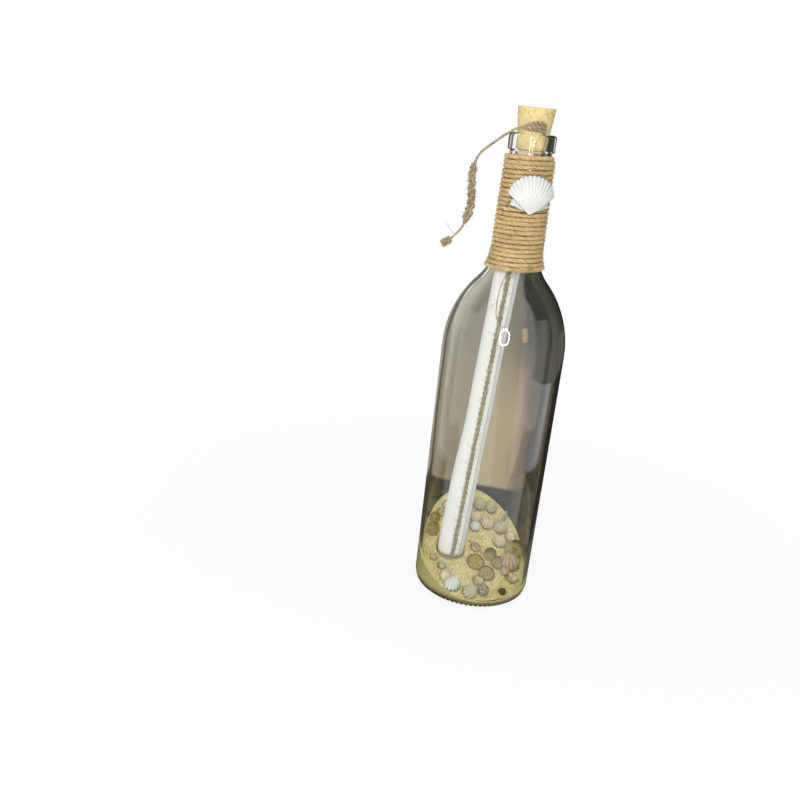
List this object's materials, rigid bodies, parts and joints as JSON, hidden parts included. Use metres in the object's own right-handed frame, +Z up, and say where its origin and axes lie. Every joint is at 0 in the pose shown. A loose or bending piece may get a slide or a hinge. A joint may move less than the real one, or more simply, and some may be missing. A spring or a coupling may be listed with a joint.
{
  "type": "message in a bottle",
  "caption": "Corked clear glass bottle with a twine-wound neck and a scallop on it, a rolled paper message on a twine inside, and a bed of sand and shells.",
  "frame": {"origin": "centre of the bottle's foot, on the surface that it stands on", "axes": "+Z up along the bottle's axis, -Y towards the front, where the scallop and the message's twine show, +X to the right"},
  "size_m": [0.0834, 0.075, 0.3043],
  "materials": {
    "bottle_glass": "clear, polished",
    "sand": "dry, fine and matt",
    "twine": "rough jute",
    "tail_twine": "frayed jute",
    "tie_twine": "rough jute",
    "cork": "matt, pitted",
    "paper": "matt",
    "white_shell": "satin",
    "grey_shell": "satin",
    "cream_shell": "satin",
    "mauve_shell": "satin",
    "clear_marble": "clear, polished",
    "amber_marble": "amber, polished",
    "olive_bead": "olive, polished",
    "lace_bead": "satin",
    "glue": "set glue, slightly glossy"
  },
  "bodies": {
    "bottle": {"amber_disc": "amber_marble", "big_glass_gem": "clear_marble", "bottle": "bottle_glass", "bottle_neck": "bottle_glass", "clear_disc_back": "clear_marble", "clear_disc_front": "clear_marble", "clear_gem_back": "clear_marble", "clear_gem_left": "clear_marble", "cone_shell": "cream_shell", "cream_clam_high": "cream_shell", "cream_clam_low": "cream_shell", "cream_egg": "cream_shell", "grey_shell_back": "grey_shell", "grey_shell_behind": "grey_shell", "grey_shell_front": "grey_shell", "lace_bead": "lace_bead", "mauve_clam": "mauve_shell", "mauve_pebble": "mauve_shell", "mauve_sliver": "mauve_shell", "neck_wrap": "twine", "olive_bead": "olive_bead", "pale_sliver": "grey_shell", "right_clam": "cream_shell", "ring_bead_left": "cream_shell", "round_glass_bead": "clear_marble", "sand_bed": "sand", "scallop_shell": "white_shell", "shell_glue": "glue", "small_spiral_left": "grey_shell", "small_white_shell": "white_shell", "spike_shell": "cream_shell", "spiral_shell": "cream_shell", "striped_clam": "cream_shell", "toothed_clam": "grey_shell", "white_clam_front": "white_shell", "white_spire_left": "white_shell"},
    "cork": {"cork": "cork", "cork_twine": "twine", "neck_strand": "twine", "twine_tail_upper": "tail_twine", "tail_braid": "tail_twine", "twine_tail_lower": "tail_twine", "tail_end_knot": "tail_twine"},
    "message": {"message_scroll": "paper", "scroll_twine": "tie_twine", "scroll_knot": "tie_twine"}
  },
  "joints": [
    {"name": "cork_pull", "type": "slide", "parent": "bottle", "child": "cork", "axis": [0.0576, 0.0192, 0.9982], "range_m": [0, 0.28]},
    {"name": "message_slack", "type": "slide", "parent": "cork", "child": "message", "axis": [0.0576, 0.0192, 0.9982], "range_m": [0, 0.035], "deforming": ["neck_strand"]}
  ]
}
